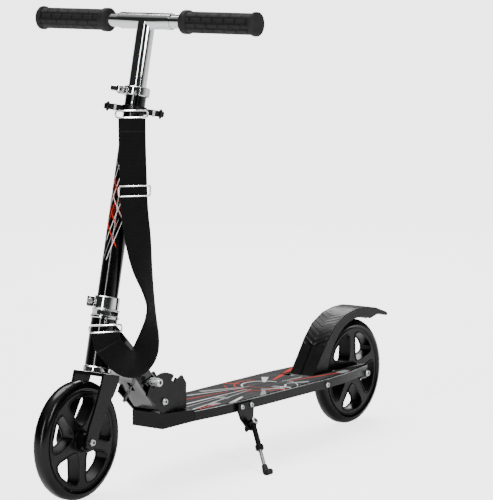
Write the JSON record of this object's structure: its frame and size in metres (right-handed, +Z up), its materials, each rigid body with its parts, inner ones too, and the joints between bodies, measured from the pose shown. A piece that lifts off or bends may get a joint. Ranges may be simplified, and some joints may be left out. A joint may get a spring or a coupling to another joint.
{
  "type": "folding kick scooter",
  "caption": "Folding kick scooter with two large spoked wheels, flat deck, adjustable T-bar, folding lock, heel brake, side stand and carry strap.",
  "frame": {"origin": "centre of the bounding box's bottom, on the ground midway between the wheels", "axes": "+X forward, +Y the rider's left, +Z up"},
  "size_m": [1.0039, 0.464, 0.8062],
  "materials": {
    "black_paint": "satin",
    "black_plastic": "satin",
    "tyre": "gloss",
    "black_rubber": "matte",
    "grip_sheet": "rough",
    "chrome": "polished",
    "zinc": "satin",
    "webbing": "woven"
  },
  "bodies": {
    "deck": {"deck_platform": "black_paint", "grip_sheet": "grip_sheet", "front_block": "black_paint", "quadrant_plate_left": "black_paint", "quadrant_plate_right": "black_paint", "fold_pivot_bolt": "zinc", "fold_pivot_nut": "zinc", "rear_axle_bolt": "zinc", "rear_axle_nut": "zinc", "brake_pivot_bolt": "zinc", "brake_spring": "zinc", "stand_bracket": "black_paint", "stand_bolt_front": "zinc", "stand_bolt_rear": "zinc"},
    "frame": {"down_tube": "black_paint", "head_tube": "black_paint", "lower_cup": "chrome", "upper_cup": "chrome", "strap_ring_lower": "chrome", "strap_hook_lower": "chrome", "strap_webbing": "webbing", "strap_buckle": "chrome"},
    "lock": {"lock_pin": "chrome"},
    "release": {"release_lever": "zinc"},
    "steering": {"fork": "black_paint", "steerer_tube": "zinc", "headset_nut": "chrome", "lock_washer": "chrome", "lower_clamp": "chrome", "lower_clamp_bolt": "zinc", "stem_tube": "black_paint", "upper_clamp": "chrome", "clamp_skewer": "zinc", "grip_clip": "black_plastic", "strap_ring_upper": "chrome", "strap_hook_upper": "chrome", "front_axle_bolt": "zinc", "front_axle_nut": "zinc"},
    "front_wheel": {"front_tyre": "tyre", "front_rim": "black_plastic", "front_bearing_left": "zinc", "front_bearing_right": "zinc"},
    "clamp": {"clamp_lever": "chrome"},
    "handlebar": {"t_bar": "chrome"},
    "bar_left": {"bar_tube_left": "chrome", "grip_left": "black_rubber"},
    "bar_right": {"bar_tube_right": "chrome", "grip_right": "black_rubber"},
    "button_left": {"snap_button_left": "zinc"},
    "button_right": {"snap_button_right": "zinc"},
    "rear_wheel": {"rear_tyre": "tyre", "rear_rim": "black_plastic", "rear_bearing_left": "zinc", "rear_bearing_right": "zinc"},
    "brake": {"heel_brake": "black_plastic"},
    "stand": {"stand_leg_upper": "black_paint", "stand_leg_lower": "zinc", "stand_collar": "black_plastic", "stand_foot": "black_rubber", "stand_pivot_bolt": "zinc"}
  },
  "joints": [
    {"name": "fold", "type": "hinge", "parent": "deck", "child": "frame", "pos_m": [0.207, 0, 0.138], "axis": [0, -1, 0], "range_deg": [0, 80]},
    {"name": "lock_slide", "type": "slide", "parent": "frame", "child": "lock", "axis": [-0.6691, 0, -0.7431], "range_m": [0, 0.0105]},
    {"name": "release_pull", "type": "hinge", "parent": "frame", "child": "release", "pos_m": [0.25525, 0, 0.16991], "axis": [0, -1, 0], "range_deg": [0, 20]},
    {"name": "steer", "type": "hinge", "parent": "frame", "child": "steering", "pos_m": [0.33644, 0, 0.25476], "axis": [-0.2334, 0, 0.9724], "range_deg": [-45, 45], "deforming": ["strap_webbing"]},
    {"name": "front_wheel_spin", "type": "hinge", "parent": "steering", "child": "front_wheel", "pos_m": [0.40198, 0, 0.09999], "axis": [0, 1, 0], "continuous": true},
    {"name": "clamp_lever_turn", "type": "hinge", "parent": "steering", "child": "clamp", "pos_m": [0.26494, -0.01369, 0.67416], "axis": [-0.2334, 0, 0.9724], "range_deg": [0, 110]},
    {"name": "bar_height", "type": "slide", "parent": "steering", "child": "handlebar", "axis": [-0.2334, 0, 0.9724], "range_m": [0, 0.12]},
    {"name": "bar_left_out", "type": "slide", "parent": "handlebar", "child": "bar_left", "axis": [0, 1, 0], "range_m": [0, 0.045]},
    {"name": "bar_right_out", "type": "slide", "parent": "handlebar", "child": "bar_right", "axis": [0, -1, 0], "range_m": [0, 0.045]},
    {"name": "button_left_press", "type": "slide", "parent": "bar_left", "child": "button_left", "axis": [0.2334, 0, -0.9724], "range_m": [0, 0.0015]},
    {"name": "button_right_press", "type": "slide", "parent": "bar_right", "child": "button_right", "axis": [0.2334, 0, -0.9724], "range_m": [0, 0.0015]},
    {"name": "rear_wheel_spin", "type": "hinge", "parent": "deck", "child": "rear_wheel", "pos_m": [-0.402, 0, 0.1], "axis": [0, 1, 0], "continuous": true},
    {"name": "brake_press", "type": "hinge", "parent": "deck", "child": "brake", "pos_m": [-0.238, 0, 0.104], "axis": [0, -1, 0], "range_deg": [0, 1.2], "stiffness_Nm_per_rad": 40},
    {"name": "stand_swing", "type": "hinge", "parent": "deck", "child": "stand", "pos_m": [0.015, 0.08, 0.076], "axis": [0, 0.7699, 0.6382], "range_deg": [0, 110]}
  ]
}
